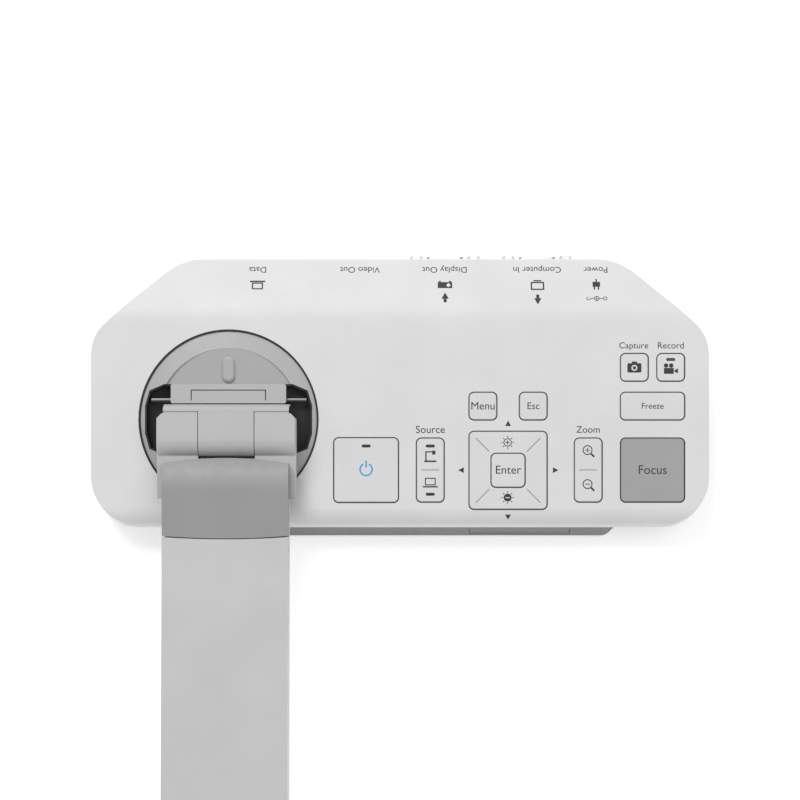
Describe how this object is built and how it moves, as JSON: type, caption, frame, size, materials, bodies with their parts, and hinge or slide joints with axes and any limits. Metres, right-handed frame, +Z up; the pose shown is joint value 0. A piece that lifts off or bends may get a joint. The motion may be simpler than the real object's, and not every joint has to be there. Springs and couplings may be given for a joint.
{
  "type": "document camera",
  "caption": "Desktop document camera: sloping control panel base, swivelling turret, hinged lower and upper arms, and a tilting camera head.",
  "frame": {"origin": "on the table under the middle of the base, in the plane of the feet", "axes": "+Z up, -Y towards the user and along the arm, +X to the user's right"},
  "size_m": [0.2654, 0.4454, 0.2291],
  "materials": {
    "white_plastic": "fine matt moulded texture",
    "key_plastic": "satin",
    "grey_plastic": "satin",
    "plinth_plastic": "fine matt texture",
    "light_grey_plastic": "satin",
    "rubber": "matt",
    "steel": "turned",
    "socket_metal": "nickel plated",
    "black_plastic": "matt",
    "board": "solder mask",
    "arm_alloy": "die cast",
    "lens": "polished",
    "diffuser": "frosted",
    "indicator": "smoked clear"
  },
  "bodies": {
    "base": {"top_cover": "white_plastic", "bottom_cover": "plinth_plastic", "slot_cover": "plinth_plastic", "rubber_feet": "rubber", "base_screws": "steel", "ballast_plate": "steel", "main_board": "board", "button_board": "board", "key_switches": "black_plastic", "analog_video_ports": "socket_metal", "jack_screws": "steel", "digital_video_port": "socket_metal", "data_port": "socket_metal", "power_jack": "black_plastic", "swivel_bush": "black_plastic"},
    "turret": {"turret_disc": "light_grey_plastic", "saddle_block": "light_grey_plastic", "saddle_lid": "light_grey_plastic", "pocket_rods": "steel", "swivel_spindle": "steel", "hinge_bracket": "light_grey_plastic", "pocket_liner": "black_plastic"},
    "lower_arm": {"root_knuckles": "light_grey_plastic", "hinge_shaft": "steel", "hinge_cheeks": "light_grey_plastic", "root_cap": "grey_plastic", "lower_arm_top": "light_grey_plastic", "lower_arm_bottom": "light_grey_plastic", "lower_arm_beam": "arm_alloy", "elbow_yoke": "arm_alloy", "elbow_shaft": "steel", "elbow_pads": "rubber"},
    "upper_arm": {"upper_arm_front": "light_grey_plastic", "upper_arm_rear": "light_grey_plastic", "upper_arm_beam": "arm_alloy", "tilt_shaft": "steel"},
    "neck": {"neck_block": "light_grey_plastic"},
    "head": {"head_top": "light_grey_plastic", "head_bottom": "light_grey_plastic", "lens_barrel": "black_plastic", "lens_glass": "lens", "camera_board": "board", "lamp_diffuser": "diffuser", "head_screws": "steel"},
    "lamp_slider": {"lamp_switch": "black_plastic"},
    "power_key": {"power_key": "key_plastic", "power_indicator": "indicator"},
    "menu_key": {"menu_key": "key_plastic"},
    "escape_key": {"escape_key": "key_plastic"},
    "enter_key": {"enter_key": "key_plastic"},
    "capture_key": {"capture_key": "key_plastic"},
    "record_key": {"record_key": "key_plastic", "record_indicator": "indicator"},
    "freeze_key": {"freeze_key": "key_plastic"},
    "focus_key": {"focus_key": "grey_plastic"},
    "source_rocker": {"source_rocker": "key_plastic", "source_indicators": "indicator"},
    "zoom_rocker": {"zoom_rocker": "key_plastic"},
    "menu_pad": {"menu_pad": "key_plastic"}
  },
  "joints": [
    {"name": "turret_swivel", "type": "hinge", "parent": "base", "child": "turret", "pos_m": [-0.0736, -0.0136, 0.03398], "axis": [0, -0.2079, 0.9781], "range_deg": [-90, 90]},
    {"name": "arm_pitch", "type": "hinge", "parent": "turret", "child": "lower_arm", "pos_m": [-0.0736, -0.02255, 0.04179], "axis": [-1, 0, 0], "range_deg": [0, 85]},
    {"name": "elbow_fold", "type": "hinge", "parent": "lower_arm", "child": "upper_arm", "pos_m": [-0.0736, -0.22233, 0.02995], "axis": [-1, 0, 0], "range_deg": [-88, 90]},
    {"name": "head_tilt", "type": "hinge", "parent": "upper_arm", "child": "neck", "pos_m": [-0.0736, -0.26054, 0.21607], "axis": [1, 0, 0], "range_deg": [-80, 45]},
    {"name": "head_roll", "type": "hinge", "parent": "neck", "child": "head", "pos_m": [-0.0736, -0.26054, 0.21607], "axis": [0, -1, 0], "range_deg": [-90, 90]},
    {"name": "lamp_slide", "type": "slide", "parent": "head", "child": "lamp_slider", "axis": [0, -1, 0], "range_m": [0, 0.004]},
    {"name": "power_press", "type": "slide", "parent": "base", "child": "power_key", "axis": [0, 0.2079, -0.9781], "range_m": [0, 0.0006], "stiffness_N_per_m": 600, "springref_m": -0.001},
    {"name": "menu_press", "type": "slide", "parent": "base", "child": "menu_key", "axis": [0, 0.2079, -0.9781], "range_m": [0, 0.0006], "stiffness_N_per_m": 600, "springref_m": -0.001},
    {"name": "escape_press", "type": "slide", "parent": "base", "child": "escape_key", "axis": [0, 0.2079, -0.9781], "range_m": [0, 0.0006], "stiffness_N_per_m": 600, "springref_m": -0.001},
    {"name": "enter_press", "type": "slide", "parent": "base", "child": "enter_key", "axis": [0, 0.2079, -0.9781], "range_m": [0, 0.0006], "stiffness_N_per_m": 600, "springref_m": -0.001},
    {"name": "capture_press", "type": "slide", "parent": "base", "child": "capture_key", "axis": [0, 0.2079, -0.9781], "range_m": [0, 0.0006], "stiffness_N_per_m": 600, "springref_m": -0.001},
    {"name": "record_press", "type": "slide", "parent": "base", "child": "record_key", "axis": [0, 0.2079, -0.9781], "range_m": [0, 0.0006], "stiffness_N_per_m": 600, "springref_m": -0.001},
    {"name": "freeze_press", "type": "slide", "parent": "base", "child": "freeze_key", "axis": [0, 0.2079, -0.9781], "range_m": [0, 0.0006], "stiffness_N_per_m": 600, "springref_m": -0.001},
    {"name": "focus_press", "type": "slide", "parent": "base", "child": "focus_key", "axis": [0, 0.2079, -0.9781], "range_m": [0, 0.0006], "stiffness_N_per_m": 600, "springref_m": -0.001},
    {"name": "source_rock", "type": "hinge", "parent": "base", "child": "source_rocker", "pos_m": [0.013, -0.0346, 0.02829], "axis": [1, 0, 0], "range_deg": [-3.5, 3.5], "stiffness_Nm_per_rad": 0.15},
    {"name": "zoom_rock", "type": "hinge", "parent": "base", "child": "zoom_rocker", "pos_m": [0.0808, -0.0346, 0.02829], "axis": [1, 0, 0], "range_deg": [-3.5, 3.5], "stiffness_Nm_per_rad": 0.15},
    {"name": "pad_rock", "type": "hinge", "parent": "base", "child": "menu_pad", "pos_m": [0.0464, -0.0347, 0.02827], "axis": [1, 0, 0], "range_deg": [-2.5, 2.5], "stiffness_Nm_per_rad": 0.3}
  ]
}
